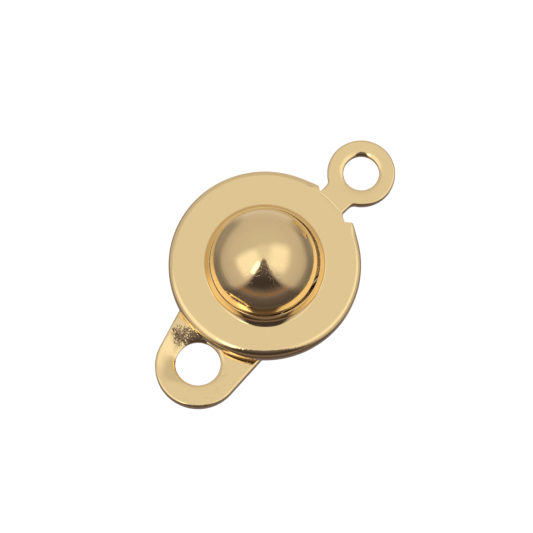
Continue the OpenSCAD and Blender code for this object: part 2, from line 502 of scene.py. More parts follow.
stud = Skin()
stud.spin(ball_section, round_turns)
stud.spin(hollow_section, round_turns)
stud.follow(stud_outline, sheet_edge(0, plate_t, plate_foot, plate_brow))
brow_ring, foot_ring, top_hole, low_hole = punched_hole(
    stud, hole_at, stud_hole_r, scoop_way, (0, plate_t), hole_foot, hole_brow)
stud.fill([inset(stud_outline, plate_brow[0]), brow_ring, ring_of((0, 0), fillet_x, round_turns)],
          plate_t, 1, [top_hole, (0, 0, fillet_x)], grid_points(*tab_box, grain, on_tab))
stud.fill([inset(stud_outline, plate_foot[0]), foot_ring,
           ring_of((0, 0), throat_r + throat_flare, round_turns)],
          0, -1, [low_hole, (0, 0, throat_r + throat_flare)])
stud.bend(press_tab)
ball_stud = stud.to_object("ball_stud", tab_turn)

# %% [markdown]
# ## The socket
#
# The upper half is a drawn shell. Its face turns up into a steep collar that thins towards its lip,
# as a drawn collar does, and its edge is rolled down and turned in under the backing washer. Two
# notches free a neck, which stays flat and carries the small loop. The collar is one section, spun
# round the axis. What makes one side of it unlike the other is bent into it later.

# %% Draw the collar
hole_r = 2.66
collar_top = shell_high[2]
collar_foot, foot_round = 0.13, 0.08
lip_lean, lip_t, lip_round = 0.05, 0.05, 0.022
straight_below = 0.05
collar_turn = 0.2
swell_reach = 0.27
rim_reach = 0.5

foot_x = hole_r + collar_foot
lip_r = hole_r - lip_lean
lip_x = lip_r + lip_t
lean_z = face_z - straight_below
flat_r = socket_r - rim_reach
wall_lean = math.degrees(math.atan2(foot_x - lip_x, collar_top - face_z))
collar_section = (
    line((flat_r, face_z), (foot_x + swell_reach, face_z))
    + line((foot_x + swell_reach, face_z), (foot_x + foot_round, face_z), 24)
    + arc((foot_x + foot_round, face_z + foot_round), foot_round, 270, 180 + wall_lean, 8)
    + arc((lip_x - lip_round, collar_top - lip_round), lip_round, wall_lean, 90, 5)
    + arc((lip_r + lip_round, collar_top - lip_round), lip_round, 90, 180, 6)
    + line((lip_r, collar_top - lip_round), (hole_r, lean_z))
    + line((hole_r, lean_z), (hole_r, sheet_z + collar_turn))
    + arc((hole_r + collar_turn, sheet_z + collar_turn), collar_turn, 180, 270, 14)
    + line((hole_r + collar_turn, sheet_z), (flat_r, sheet_z)))
print(f"collar {collar_top - face_z:.2f} mm high, {2 * lip_r:.2f} mm wide at its lip")

# %% [markdown]
# The rim is the same section nearly all the way round, a little wider on the side towards the
# camera. Close to the notches it changes, because the shears squeezed it as they cut. A boolean cut
# would leave ragged facets along the rolled edge, so the rim is spun only as far as the notches,
# and its normals are measured from the neighbouring sections.

# %% Draw the rim
rim_width, rim_round, rim_wall = 0.26, 0.38, 0.3
curl_t, curl_w = 0.27, 0.78
cavity_r = socket_r - rim_wall
wide_way, wide_by = 217, 0.14
wide_from, wide_full = 75, 20

# Where the rim ends at each notch: angle at the notch's floor, angle and radius at the brim,
# radius of the floor, and where the wall below the sheet stops, across
open_end = {"floor": -16.0, "brim": -18.6, "brim_r": 4.55, "floor_r": 4.23, "wall_y": -1.42}
narrow_end = {"floor": 9.15, "brim": 12.2, "brim_r": 4.53, "floor_r": 4.34, "wall_y": 0.9}
end_fade, end_round = 6.0, 0.12
cut_low, cut_high = sheet_z - 0.3, sheet_z - 0.02
rim_length = 360 + open_end["floor"] - narrow_end["floor"]


def end_turn(end, r, z):
    """Angle at which the rim is cut off at one of its ends."""
    out = max(0, (r - end["floor_r"]) / (end["brim_r"] - end["floor_r"]))
    top = end["floor"] + (end["brim"] - end["floor"]) * out
    wall = math.degrees(math.asin(end["wall_y"] / r))
    return wall + (top - wall) * smooth(cut_low, cut_high, z)


def but_at_ends(share, size, at_narrow, at_open):
    """A size of the rim that changes in the last few degrees before each notch."""
    near, far = (math.exp(-(part * rim_length / end_fade) ** 2) for part in (share, 1 - share))
    return size + near * (at_narrow - size) + far * (at_open - size)


def rim_section(share):
    """Section of the rim at a share of the way from the narrow notch round to the open one."""
    off_wide = abs(narrow_end["floor"] + share * rim_length - wide_way)
    flat_end = socket_r - rim_width - wide_by * smooth(wide_from, wide_full, off_wide)
    start = but_at_ends(share, flat_end, narrow_end["brim_r"] - end_round, open_end["brim_r"] - end_round)
    floor = but_at_ends(share, start, narrow_end["floor_r"], open_end["floor_r"])
    brim = but_at_ends(share, socket_r, narrow_end["brim_r"], open_end["brim_r"])
    low_start, curl_r = brim - rim_round, socket_r - curl_w
    return (line((flat_r, sheet_z), (cavity_r, sheet_z))
            + line((cavity_r, sheet_z), (cavity_r, foot_z + curl_t), 4)
            + line((cavity_r, foot_z + curl_t), (curl_r, foot_z + curl_t), 2)
            + line((curl_r, foot_z + curl_t), (curl_r, foot_z))
            + line((curl_r, foot_z), (low_start, foot_z), 2)
            + arc((low_start, foot_z + rim_round), rim_round, 270, 360, 14)
            + line((brim, foot_z + rim_round), (brim, face_z - brim + start), 3)
            + arc((start, face_z - brim + start), brim - start, 0, 90, 20)
            + [(floor, face_z, 0, 1), (flat_r, face_z, 0, 1)])


def rim_place(share, r, z):
    """Plan place of a rim point, with the columns leaning as the ends do."""
    low, high = end_turn(narrow_end, r, z), end_turn(open_end, r, z) + 360
    turn = math.radians(low + (high - low) * share)
    return Vector((r * math.cos(turn), r * math.sin(turn), z))


def rim_column(share):
    """Points and true normals of the rim at that share of the way round."""
    before, here, after = (rim_section(s) for s in (share - STEP, share, share + STEP))
    column = []
    for (r0, z0, _, _), (r, z, nr, nz), (r1, z1, _, _) in zip(before, here, after):
        place = rim_place(share, r, z)
        along = rim_place(share + STEP, r1, z1) - rim_place(share - STEP, r0, z0)
        across = rim_place(share, r - nz * STEP, z + nr * STEP) - place
        column.append((tuple(place), tuple(along.cross(across).normalized())))
    return column


about_round, fine_turn, coarse_turn, fine_reach = 335, 0.35, 1.2, 12
shares = [0.0]
while shares[-1] < 1:
    from_end = min(shares[-1], 1 - shares[-1]) * about_round
    shares.append(shares[-1] + (fine_turn if from_end < fine_reach else coarse_turn) / about_round)
shares = [s / shares[-1] for s in shares]
print(f"rim: {len(shares)} columns of {len(rim_section(0.5))} points")

# %% [markdown]
# The neck's outline starts in one notch and ends in the other: down the neck, round the loop and
# back. Its edge is rounded like any stamped one, except where it starts in a notch.

# %% Draw the neck and the loop
loop_r = round(shell_high[0] - socket_hole[0], 2)
neck_low, neck_high, neck_from = -0.78, 0.71, 4.26
loop_fillet, notch_fillet = 0.35, 0.2
loop_brow, loop_foot = (0.1, 0.1), (0.05, 0.05)
loop_hole_brow, loop_hole_foot = (0.28, 0.11), (0.14, 0.12)
taper_steps = 4


def loop_root(side):
    """Centre of the hollow curve between a side of the neck and the loop, and where it meets the loop."""
    off = abs(side) + loop_fillet
    x = socket_reach - math.sqrt((loop_r + loop_fillet) ** 2 - off ** 2)
    return (x, math.copysign(off, side)), math.degrees(math.atan2(off, socket_reach - x))


low_root, low_turn = loop_root(neck_low)
high_root, high_turn = loop_root(neck_high)


def on_circle(radius, turn):
    """Plan point at a radius and an angle."""
    return (radius * math.cos(math.radians(turn)), radius * math.sin(math.radians(turn)))


def rounded_corner(before, corner, after, radius, steps=5):
    """The arc that rounds a corner between two straight stretches."""
    come = Vector((corner[0] - before[0], corner[1] - before[1])).normalized()
    go = Vector((after[0] - corner[0], after[1] - corner[1])).normalized()
    turn = math.degrees(math.atan2(come[0] * go[1] - come[1] * go[0], come.dot(go)))
    side = 1 if turn > 0 else -1
    start = Vector(corner) - come * radius * math.tan(math.radians(abs(turn)) / 2)
    centre = start + Vector((-come[1], come[0])) * radius * side
    first = math.degrees(math.atan2(start[1] - centre[1], start[0] - centre[0]))
    return arc(centre, radius, first, first + turn, steps)


open_corner = on_circle(open_end["floor_r"], open_end["floor"])
narrow_corner = on_circle(narrow_end["floor_r"], narrow_end["floor"])
neck_corner = (neck_from, neck_low)
lower_start = (low_root[0], neck_low)
notch_bend = rounded_corner(open_corner, neck_corner, lower_start, notch_fillet)
neck_outline = (
    line(open_corner, notch_bend[0][:2], 4)
    + notch_bend
    + line(notch_bend[-1][:2], lower_start, 6)
    + arc(low_root, loop_fillet, 90, low_turn, 8)
    + arc((socket_reach, 0), loop_r, low_turn - 180, 180 - high_turn, 110)
    + arc(high_root, loop_fillet, -high_turn, -90, 8)
    + line((high_root[0], neck_high), narrow_corner, 6))


def taper(step):
    """How much of its rounding the neck's edge has: none where it starts in a notch."""
    from_end = min(step, len(neck_outline) - 1 - step)
    return smooth(0, taper_steps, from_end)


def neck_edge(step):
    """Section of the neck's edge at a step of its outline."""
    part = taper(step)
    return sheet_edge(sheet_z, face_z, [part * c for c in loop_foot], [part * c for c in loop_brow])


def neck_inset(by):
    """Plan points of the neck's outline moved in by as much as its rounding takes."""
    return [(x - nx * by * taper(k), y - ny * by * taper(k))
            for k, (x, y, nx, ny) in enumerate(neck_outline)]


print(f"loop {2 * loop_r:.2f} mm, neck {neck_high - neck_low:.2f} mm wide")

# %% [markdown]
# Four changes were pressed into the finished shell. Punching the loop's hole dragged the sheet down
# round it. Where the neck was bent level again after the rim was rolled, a faint crease crosses its
# root. The collar's foot flares out over the face on the side towards the camera, and mirrors the
# dark front of the studio there, as a crescent. And the collar's lip leans in by a hair, but for the
# side that the ball passes closest when the halves come apart. Each is a smooth change of place, so
# each can be a `bend`.

# %% Shape the bends
crease_r, crease_width, crease_depth = 4.28, 0.02, 0.012
crease_y, crease_end, crease_full = -0.03, 0.72, 0.6
loop_from, drag_from, drag_full = 4.1, 4.3, 4.8
swell_way, swell_spread = 229, 80
swell_depth, swell_curve, least_swell = 0.2, 1.3, 0.02
lip_close, close_from, close_full = 0.03, 45, 85


def crease(x, y):
    """Depth of the crease across the neck's root, in millimetres."""
    across = (math.hypot(x, y) - crease_r) / crease_width
    return crease_depth * math.exp(-across ** 2) * smooth(crease_end, crease_full, abs(y - crease_y))


def press_loop(place):
    """Lowers a place of the neck or the loop by dip and crease, and its underside not at all."""
    x, y, z = place
    if x < loop_from:
        return place
    dip = drag(x, y, (socket_reach, 0), socket_hole_r) * smooth(drag_from, drag_full, x)
    return (x, y, z - (dip + crease(x, y)) * (z - sheet_z) / face_t)


def off_swell(place):
    """Degrees between a place, seen from the axis, and the middle of the side that flares out."""
    return abs((math.degrees(math.atan2(place[1], place[0])) - swell_way + 180) % 360 - 180)


def swell_foot(place):
    """Flares the collar's foot out over the face, most on the side towards the camera."""
    x, y, z = place
    r, part = math.hypot(x, y), smooth(swell_spread, 0, off_swell(place))
    if part < least_swell or r > foot_x + swell_reach * part:
        return place
    inwards = min(1, 1 - (r - foot_x) / (swell_reach * part))
    lift = swell_depth * part * inwards ** swell_curve * smooth(sheet_z, face_z, z)
    return (x, y, z + lift * min(1, (collar_top - z) / (collar_top - face_z)))


def close_lip(place):
    """Leans the collar's lip in, but for the side that the ball passes closest."""
    x, y, z = place
    r = math.hypot(x, y)
    if z < face_z or r > foot_x + foot_round:
        return place
    part = smooth(close_from, close_full, off_swell(place)) * (z - face_z) / (collar_top - face_z)
    size = 1 - lip_close * part / r
    return (x * size, y * size, z)


print(f"lip {2 * (lip_r - lip_close):.2f} mm wide where it leans in on both sides")

# %% [markdown]
# Now the skin is put together: the collar spun, the rim's columns joined, the neck's edge run round
# its outline and the two flats filled. Each end of the rim is closed by a cap, filled flat in the
# section's own plane and then set in its place.

# %% Make the socket plate
sector_steps = 60
neck_grain, neck_full = 0.06, 5.2
neck_box = (4.3, -1.6), (7.9, 1.6)
crease_gap = 0.12
crease_rows, crease_columns = range(-4, 5), np.arange(-0.66, 0.61, 0.03)


def on_neck(x, y):
    """Whether a grid point lies on the flat of the neck or the loop, clear of edges and hole."""
    from_hole = math.hypot(x - socket_reach, y)
    if from_hole < socket_hole_r + loop_hole_brow[0] + grid_gap:
        return False
    if x > low_root[0] and from_hole < loop_r - loop_brow[0] - grid_gap:
        return True
    return crease_r + crease_gap < x < neck_full and abs(y) < neck_high - loop_brow[0] - grid_gap


def cap(share, way, end):
    """Closes the rim's cut end, between its outer and inner skins."""
    ring = [(r, z) for r, z, _, _ in rim_section(share)
            if r > flat_r + SAME_PLACE or z < sheet_z - SAME_PLACE]
    ring += [(end["floor_r"], face_z - face_t * i / 3) for i in range(1, 4)]
    flat = Skin()
    flat.fill([ring], 0, 1)
    for face in flat.faces:
        corners = [rim_place(share, *flat.points[i][:2]) for i in face]
        normal = (corners[1] - corners[0]).cross(corners[2] - corners[0]).normalized()
        if normal.dot(Vector((-corners[0].y, corners[0].x, 0))) * way < 0:
            normal = -normal
        socket.face([(tuple(c), tuple(normal)) for c in corners])


socket = Skin()
sector_turns = [open_end["floor"] + (narrow_end["floor"] - open_end["floor"]) * i / sector_steps
                for i in range(sector_steps + 1)]
rim_turns = [narrow_end["floor"] + rim_length * s for s in shares]
socket.spin(collar_section, sector_turns[:-1] + rim_turns[:-1])
columns = [rim_column(s) for s in shares]
socket.strip(columns)

socket.follow(neck_outline, neck_edge, closed=False)
away_from_camera = camera_azimuth + math.radians(90 - socket_turn)
brow_ring, foot_ring, top_hole, low_hole = punched_hole(
    socket, (socket_reach, 0), socket_hole_r, away_from_camera, (sheet_z, face_z),
    loop_hole_foot, loop_hole_brow, 90)
crease_points = [(math.sqrt((crease_r + crease_width * k / 2) ** 2 - y ** 2), y)
                 for k in crease_rows for y in crease_columns]
sector_ring = ring_of((0, 0), flat_r, sector_turns)
socket.fill([sector_ring + neck_inset(loop_brow[0])[::-1], brow_ring],
            face_z, 1, [top_hole], grid_points(*neck_box, neck_grain, on_neck) + crease_points)
socket.fill([sector_ring + [on_circle(cavity_r, narrow_end["floor"])]
             + neck_inset(loop_foot[0])[::-1], foot_ring], sheet_z, -1, [low_hole])
cap(0.0, -1, narrow_end)
cap(1.0, 1, open_end)
for change in (press_loop, swell_foot, close_lip):
    socket.bend(change)
socket_plate = socket.to_object("socket_plate", socket_turn, socket_at)

# %% [markdown]
# ## Node trees
#
# Blender's geometry trees and shader trees are wired in the same way: a node is added, and each of
# its inputs is given a plain value or a link from another node. These helpers do that in one call,
# so that a tree of a dozen nodes can be read like a few lines of arithmetic.

# %% Helpers for node trees
def give(tree, socket, value):
    """Links an input to another node's output, or sets it to a plain value."""
    if isinstance(value, bpy.types.NodeSocket):
        tree.links.new(value, socket)
    else:
        socket.default_value = tuple(value) if isinstance(value, Vector) else value


def put(tree, kind, operation=None, **values):
    """Adds a node and gives its inputs, by name or by number as in_0."""
    node = tree.nodes.new(kind)
    if operation:
        node.operation = operation
    for key, value in values.items():
        place = int(key[3:]) if key.startswith("in_") else key.replace("_", " ").title()
        give(tree, node.inputs[place], value)
    return node


def maths(tree, operation, *values):
    """The result of a math node."""
    return put(tree, "ShaderNodeMath", operation, **{f"in_{i}": v for i, v in enumerate(values)}).outputs[0]


def times(tree, first, second):
    """The product of two numbers."""
    return maths(tree, "MULTIPLY", first, second)

# %% [markdown]
# ## Washer and spring
#
# Under the face, the rim is closed over a dished washer, and between the two lies the spring: one
# bent wire, whose two straight legs run past the ball on either side. They spread when the ball is
# pushed through and close again below its widest line. The washer is a section run round a circle,
# and the spring is a round section run along its path. Both are jobs for Geometry Nodes: the sizes
# stay named inputs, and each tree can be read at a glance.

# %% Build the two geometry trees
wire_steps = 20
sharp_turn = math.radians(30)


def new_tree(name, size):
    """A geometry tree that takes a path, one named size and a material, and the sockets of its ends."""
    tree = bpy.data.node_groups.new(name, "GeometryNodeTree")
    for title, kind in (("Geometry", "Geometry"), (size, "Float"), ("Material", "Material")):
        tree.interface.new_socket(title, in_out="INPUT", socket_type="NodeSocket" + kind)
    tree.interface.new_socket("Geometry", in_out="OUTPUT", socket_type="NodeSocketGeometry")
    return tree, tree.nodes.new("NodeGroupInput").outputs, tree.nodes.new("NodeGroupOutput").inputs


def end_tree(tree, inputs, outputs, made):
    """Shades what the tree made smooth, but for its sharp edges, and gives it its material."""
    smoothed = put(tree, "GeometryNodeSetShadeSmooth", geometry=made).outputs["Geometry"]
    angle = put(tree, "GeometryNodeInputMeshEdgeAngle").outputs["Unsigned Angle"]
    crisp = put(tree, "GeometryNodeSetShadeSmooth", geometry=smoothed, shade_smooth=False,
                selection=maths(tree, "GREATER_THAN", angle, sharp_turn))
    crisp.domain = "EDGE"
    real = put(tree, "GeometryNodeRealizeInstances", geometry=crisp.outputs["Geometry"])
    paint = put(tree, "GeometryNodeSetMaterial", geometry=real.outputs["Geometry"],
                material=inputs["Material"])
    tree.links.new(paint.outputs["Geometry"], outputs["Geometry"])
    return tree


def bent_wire_tree():
    """A round wire that follows the path that goes in."""
    tree, inputs, outputs = new_tree("bent_wire", "Wire Radius")
    path = put(tree, "GeometryNodeMeshToCurve", mesh=inputs["Geometry"])
    wire = put(tree, "GeometryNodeCurvePrimitiveCircle", resolution=wire_steps, radius=inputs["Wire Radius"])
    tube = put(tree, "GeometryNodeCurveToMesh", curve=path.outputs["Curve"],
               profile_curve=wire.outputs["Curve"], fill_caps=True)
    return end_tree(tree, inputs, outputs, tube.outputs["Mesh"])


def spun_section_tree():
    """The section that goes in, run round a circle."""
    tree, inputs, outputs = new_tree("spun_section", "Radius")
    circle = put(tree, "GeometryNodeCurvePrimitiveCircle", resolution=round_steps, radius=inputs["Radius"])
    section = put(tree, "GeometryNodeMeshToCurve", mesh=inputs["Geometry"])
    spin = put(tree, "GeometryNodeCurveToMesh", curve=circle.outputs["Curve"],
               profile_curve=section.outputs["Curve"])
    return end_tree(tree, inputs, outputs, spin.outputs["Mesh"])


def grown(name, tree, values, path, closed):
    """The mesh that a tree makes from its values and from a path of plan points."""
    seed = bpy.data.meshes.new(name)
    seed.from_pydata([(x * MM, y * MM, 0) for x, y in path],
                     [(i, (i + 1) % len(path)) for i in range(len(path) - (not closed))], [])
    source = bpy.data.objects.new("path", seed)
    scene.collection.objects.link(source)
    grower = source.modifiers.new("grow", "NODES")
    grower.node_group = tree
    for item in tree.interface.items_tree:
        if item.in_out == "INPUT" and item.name in values:
            grower[item.identifier] = values[item.name]
    evaluated = source.evaluated_get(bpy.context.evaluated_depsgraph_get())
    mesh = bpy.data.meshes.new_from_object(evaluated)
    source.modifiers.remove(grower)
    bpy.data.objects.remove(source)
    made = bpy.data.objects.new(name, mesh)
    scene.collection.objects.link(made)
    return made


def turn_and_set(piece, turn, at):
    """Turns a piece about the upright axis and sets it in place, in its mesh."""
    piece.data.transform(Matrix.Translation(Vector(at) * MM) @ Matrix.Rotation(math.radians(turn), 4, "Z"))
    print(f"{piece.name}: {len(piece.data.vertices)} points")


bent_wire, spun_section = bent_wire_tree(), spun_section_tree()
print("trees:", bent_wire.name, len(bent_wire.nodes), spun_section.name, len(spun_section.nodes), "nodes")

# %% [markdown]
# ## Finish
#
# The clasp is brass under a few microns of gold. The metal itself has no texture: its colour is
# what its surface reflects, times the reflectance of gold, so Metallic is 1 and Base Color holds
# that reflectance. What makes it look handled is small: hairlines from the polishing wheel, a faint
# cloudiness where fingers touched it, slow waves in the rolled sheet, and a fine ripple, called
# orange peel, where the wheel couldn't reach. The waves and the peel are one group at two sizes.
# Each group has its own named inputs, so every piece can have its own share of it.

# %% Helpers for shader trees
NOWHERE = (0.0, 0.0, 0.0)


def vector_maths(tree, operation, *values):
    """The result of a vector math node, a number for a dot product or a length."""
    node = put(tree, "ShaderNodeVectorMath", operation, **{f"in_{i}": v for i, v in enumerate(values)})
    return node.outputs["Value" if operation in ("DOT_PRODUCT", "LENGTH") else "Vector"]


def dot(tree, first, second):
    """The dot product of two directions."""
    return vector_maths(tree, "DOT_PRODUCT", first, second)


def ramp(tree, value, low, high, start=0.0, end=1.0):
    """A smooth step from start, at low, to end, at high."""
    node = put(tree, "ShaderNodeMapRange", value=value, from_min=low, from_max=high,
               to_min=start, to_max=end)
    node.interpolation_type = "SMOOTHSTEP"
    return node.outputs["Result"]


def mixed_colour(tree, part, start, end):
    """start where part is 0, end where it is 1. start may be a colour or a link."""
    mix = tree.nodes.new("ShaderNodeMix")
    mix.data_type = "RGBA"
    for title, value in (("Factor", part), ("A", start), ("B", end)):
        give(tree, mix.inputs[title], value)
    return mix.outputs["Result"]


def new_group(name, inputs, outputs):
    """A shader node group with number or vector inputs, given as name: default."""
    group = bpy.data.node_groups.new(name, "ShaderNodeTree")
    for title, value in inputs.items():
        kind = "NodeSocketVector" if isinstance(value, tuple) else "NodeSocketFloat"
        group.interface.new_socket(title, in_out="INPUT", socket_type=kind).default_value = value
    for title in outputs:
        group.interface.new_socket(title, in_out="OUTPUT", socket_type="NodeSocketFloat")
    return group, group.nodes.new("NodeGroupInput").outputs, group.nodes.new("NodeGroupOutput").inputs


def use_group(tree, group, **values):
    """Adds a group to a tree, gives its inputs by name, and hands back its outputs."""
    node = tree.nodes.new("ShaderNodeGroup")
    node.node_tree = group
    for key, value in values.items():
        give(tree, node.inputs[key.replace("_", " ").capitalize()], value)
    return node.outputs

# %% Make the marks of the finish
line_width = 0.014
line_turns = ((0.3, 0.2, 0.6), (0.9, -0.5, 2.1), (-0.4, 0.7, 3.9))
patch_scale, patch_from, patch_full = 700.0, 0.5, 0.7
cloud_from, cloud_full = 0.4, 0.75
MICRON = 1e-6


def hairline_group():
    """Fine scratches: long thin stretches of noise in three directions, broken up by a slower noise."""
    group, inputs, outputs = new_group(
        "hairlines", {"Place": NOWHERE, "Lines per mm": 4.0, "Length mm": 1.6, "Amount": 0.3}, ["Mask"])
    fine = times(group, inputs["Lines per mm"], 1 / MM)
    coarse = maths(group, "DIVIDE", 1 / MM, inputs["Length mm"])
    scale = put(group, "ShaderNodeCombineXYZ", x=coarse, y=fine, z=fine).outputs[0]
    total = None
    for turn in line_turns:
        turned = put(group, "ShaderNodeMapping", vector=inputs["Place"], rotation=turn).outputs[0]
        stretched = vector_maths(group, "MULTIPLY", turned, scale)
        noise = put(group, "ShaderNodeTexNoise", vector=stretched, scale=1.0, detail=1.0).outputs[0]
        off_middle = maths(group, "ABSOLUTE", maths(group, "SUBTRACT", noise, 0.5))
        thin = ramp(group, off_middle, 0.0, line_width, 1.0, 0.0)
        patches = put(group, "ShaderNodeTexNoise", vector=turned, scale=patch_scale, detail=2.0).outputs[0]
        part = times(group, thin, ramp(group, patches, patch_from, patch_full))
        total = part if total is None else maths(group, "MAXIMUM", total, part)
    group.links.new(times(group, total, inputs["Amount"]), outputs["Mask"])
    return group


def ripple_group():
    """Orange peel or slow waves: a low rounded ripple, in metres of height."""
    group, inputs, outputs = new_group(
        "orange_peel", {"Place": NOWHERE, "Grain mm": 0.2, "Height um": 1.0}, ["Height"])
    size = maths(group, "DIVIDE", 1 / MM, inputs["Grain mm"])
    noise = put(group, "ShaderNodeTexNoise", vector=inputs["Place"], scale=size, detail=2.0, roughness=0.45)
    level = times(group, maths(group, "SUBTRACT", noise.outputs[0], 0.5), inputs["Height um"])
    group.links.new(times(group, level, MICRON), outputs["Height"])
    return group


def cloud_group():
    """Cloudiness: where the polish is a little duller."""
    group, inputs, outputs = new_group(
        "cloudy_polish", {"Place": NOWHERE, "Patch mm": 1.5, "Amount": 0.5}, ["Mask"])
    size = maths(group, "DIVIDE", 1 / MM, inputs["Patch mm"])
    noise = put(group, "ShaderNodeTexNoise", vector=inputs["Place"], scale=size, detail=4.0, roughness=0.6)
    cloud = ramp(group, noise.outputs[0], cloud_from, cloud_full)
    group.links.new(times(group, cloud, inputs["Amount"]), outputs["Mask"])
    return group


hairlines, orange_peel, cloudy_polish = hairline_group(), ripple_group(), cloud_group()
print("finish groups:", hairlines.name, orange_peel.name, cloudy_polish.name)

# %% [markdown]
# The marks don't lie everywhere. The peel is strong in the tab's scoop and on the rolled rim, which
# the wheel hardly touches, and the plating inside the snap is dull, because no wheel reaches it at
# all. So each metal may be given a mask: a function of place that is 1 where the mark is at its
# strongest. All places are Object coordinates, in metres, so the marks stay on the metal as it moves.

# %% Say where the marks lie
scoop_at, scoop_inner, scoop_outer = (-4.65, 1.2), 0.6, 1.4
rim_inner, rim_outer = 3.9, 4.1
# How much of the peel is left on the rest of the stud and on the socket's flat face
stud_peel, face_peel = 0.06, 0.15
inside_inner, inside_outer = 3.5, 3.9
inside_low, inside_high = face_z - 0.25, face_z - 0.05


def near_to(tree, place, spot, inner, outer, low):
    """1 within the inner distance of an upright line through a spot, low beyond the outer one."""
    off = vector_maths(tree, "SUBTRACT", place, (spot[0] * MM, spot[1] * MM, 0.0))
    level = vector_maths(tree, "MULTIPLY", off, (1.0, 1.0, 0.0))
    return ramp(tree, vector_maths(tree, "LENGTH", level), inner * MM, outer * MM, 1.0, low)


def in_scoop(tree, place):
    """Mask of the grainy metal in the tab's scoop."""
    return near_to(tree, place, scoop_at, scoop_inner, scoop_outer, stud_peel)


def on_rim(tree, place):
    """Mask of the rolled rim, grainier than the flat face."""
    flat = near_to(tree, place, socket_at, rim_inner, rim_outer, face_peel)
    return maths(tree, "SUBTRACT", 1 + face_peel, flat)


def within(tree, place):
    """Mask of the metal inside the snap, which no wheel reaches: below the face, near the axis."""
    z = put(tree, "ShaderNodeSeparateXYZ", vector=place).outputs["Z"]
    low = ramp(tree, z, inside_low * MM, inside_high * MM, 1.0, 0.0)
    return times(tree, low, near_to(tree, place, socket_at, inside_inner, inside_outer, 0.0))


print(f"peel round {scoop_at} on the tab and beyond {rim_inner} mm on the socket")

# %% Make the metals
GOLD = (0.93, 0.705, 0.36, 1)
DULL_GOLD = (0.80, 0.60, 0.33, 1)
STEEL = (0.56, 0.55, 0.53, 1)
groove_um = -1.5
wave_mm = 1.0
inside_rough = 0.5


def polished_metal(name, colour, dull_colour, gloss=0.035, dull=0.14, clouds=0.5, lines=0.3, peel_um=0.3,
                   peel_mm=0.35, peel_where=None, wave_um=2.0, dull_where=None):
    """A polished metal with hairlines, clouds, ripple and slow waves of its own."""
    material = bpy.data.materials.new(name)
    material.use_nodes = True
    tree = material.node_tree
    tree.nodes.clear()
    place = put(tree, "ShaderNodeTexCoord").outputs["Object"]
    scratched = use_group(tree, hairlines, place=place, amount=lines)["Mask"]
    cloud = use_group(tree, cloudy_polish, place=place, amount=clouds)["Mask"]
    rough = ramp(tree, maths(tree, "MAXIMUM", scratched, cloud), 0.0, 1.0, gloss, dull)
    if dull_where:
        rough = maths(tree, "MAXIMUM", rough, times(tree, dull_where(tree, place), inside_rough))
    peel = use_group(tree, orange_peel, place=place, grain_mm=peel_mm, height_um=peel_um)["Height"]
    if peel_where:
        peel = times(tree, peel, peel_where(tree, place))
    wave = use_group(tree, orange_peel, place=place, grain_mm=wave_mm, height_um=wave_um)["Height"]
    height = maths(tree, "ADD", maths(tree, "ADD", peel, wave), times(tree, scratched, groove_um * MICRON))
    bump = put(tree, "ShaderNodeBump", strength=1.0, distance=1.0, height=height)
    shader = put(tree, "ShaderNodeBsdfPrincipled", metallic=1.0, roughness=rough, normal=bump.outputs[0],
                 base_color=mixed_colour(tree, scratched, colour, dull_colour))
    out = tree.nodes.new("ShaderNodeOutputMaterial")
    tree.links.new(shader.outputs[0], out.inputs["Surface"])
    return material


stud_gold = polished_metal("stud_plating", GOLD, DULL_GOLD, peel_um=17.0, peel_mm=0.15, lines=0.8,
                           peel_where=in_scoop, wave_um=5.0, dull_where=within)
socket_gold = polished_metal("socket_plating", GOLD, DULL_GOLD, peel_um=2.6, peel_mm=0.12, lines=0.2,
                             peel_where=on_rim, wave_um=7.0, dull_where=within)
washer_gold = polished_metal("washer_plating", GOLD, DULL_GOLD, gloss=0.2, dull=0.35, peel_um=0.5)
spring_steel = polished_metal("spring_wire", STEEL, STEEL, gloss=0.25, dull=0.35, peel_um=0.3)
print("materials:", [m.name for m in (stud_gold, socket_gold, washer_gold, spring_steel)])

# %% [markdown]
# The finish is ready, so the two hidden pieces can be grown. The washer's section is flat where the
# rim is closed over it and dished down towards its hole. The spring's path is drawn as one half,
# from its open end to the middle of the closed one, and the other half is the same mirrored.

# %% Grow the washer and the spring
curl_gap, washer_t, washer_play = 0.02, 0.25, 0.06
dish_in, dish_slope = 0.17, 0.14
dish_r = socket_r - curl_w - dish_in
washer_r = (washer_high[0] - washer_low[0]) / 2
inner_r = hole_r + washer_play
dish_low, rim_low = washer_low[2], foot_z + curl_t + curl_gap
washer_section = [(inner_r, dish_low), (dish_r, dish_low), (dish_r + dish_slope, rim_low),
                  (washer_r, rim_low), (washer_r, rim_low + washer_t),
                  (dish_r + dish_slope / 2, rim_low + washer_t),
                  (dish_r - dish_slope / 2, dish_low + washer_t), (inner_r, dish_low + washer_t)]
back_washer = grown("back_washer", spun_section, {"Radius": hole_r * MM, "Material": washer_gold},
                    [(r - hole_r, -z) for r, z in washer_section], closed=True)
turn_and_set(back_washer, 0, (*socket_at, 0))

wire_r, spring_clear = 0.14, 0.03
bow_r, bend_r, open_angle = 3.0, 0.3, 40
least_gap = 0.01
spring_low, spring_high = box_mm("snap_spring")
spring_z = (spring_low[2] + spring_high[2]) / 2
leg_off = math.sqrt((ball_r + wire_r + spring_clear) ** 2 - (ball_z - spring_z) ** 2)


